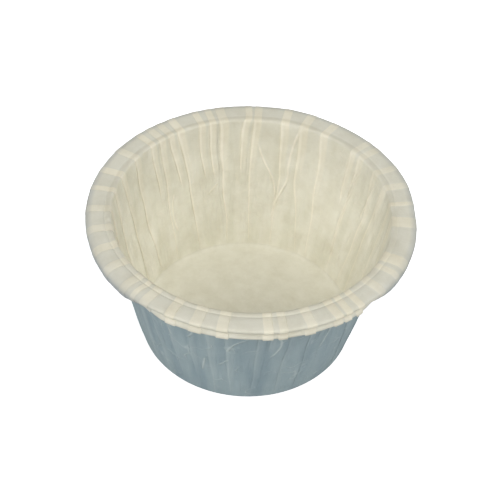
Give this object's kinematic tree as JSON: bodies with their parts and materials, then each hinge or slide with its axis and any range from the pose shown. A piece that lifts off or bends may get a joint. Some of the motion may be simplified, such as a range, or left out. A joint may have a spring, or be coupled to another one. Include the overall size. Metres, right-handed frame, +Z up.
{
  "type": "cupcake liner",
  "caption": "Pleated paper baking cup with a flat round base, a flaring wall and a wide turned rim.",
  "frame": {"origin": "centre of the cup's base, on the surface that it stands on", "axes": "+Z up out of the open mouth; X and Y across the base, with the picture's viewpoint on the -Y side"},
  "size_m": [0.076, 0.0759, 0.037],
  "materials": {
    "paper": "matte uncoated white paper, faintly cream, pressed into pleats"
  },
  "bodies": {
    "root": {"liner": "paper"}
  },
  "joints": []
}
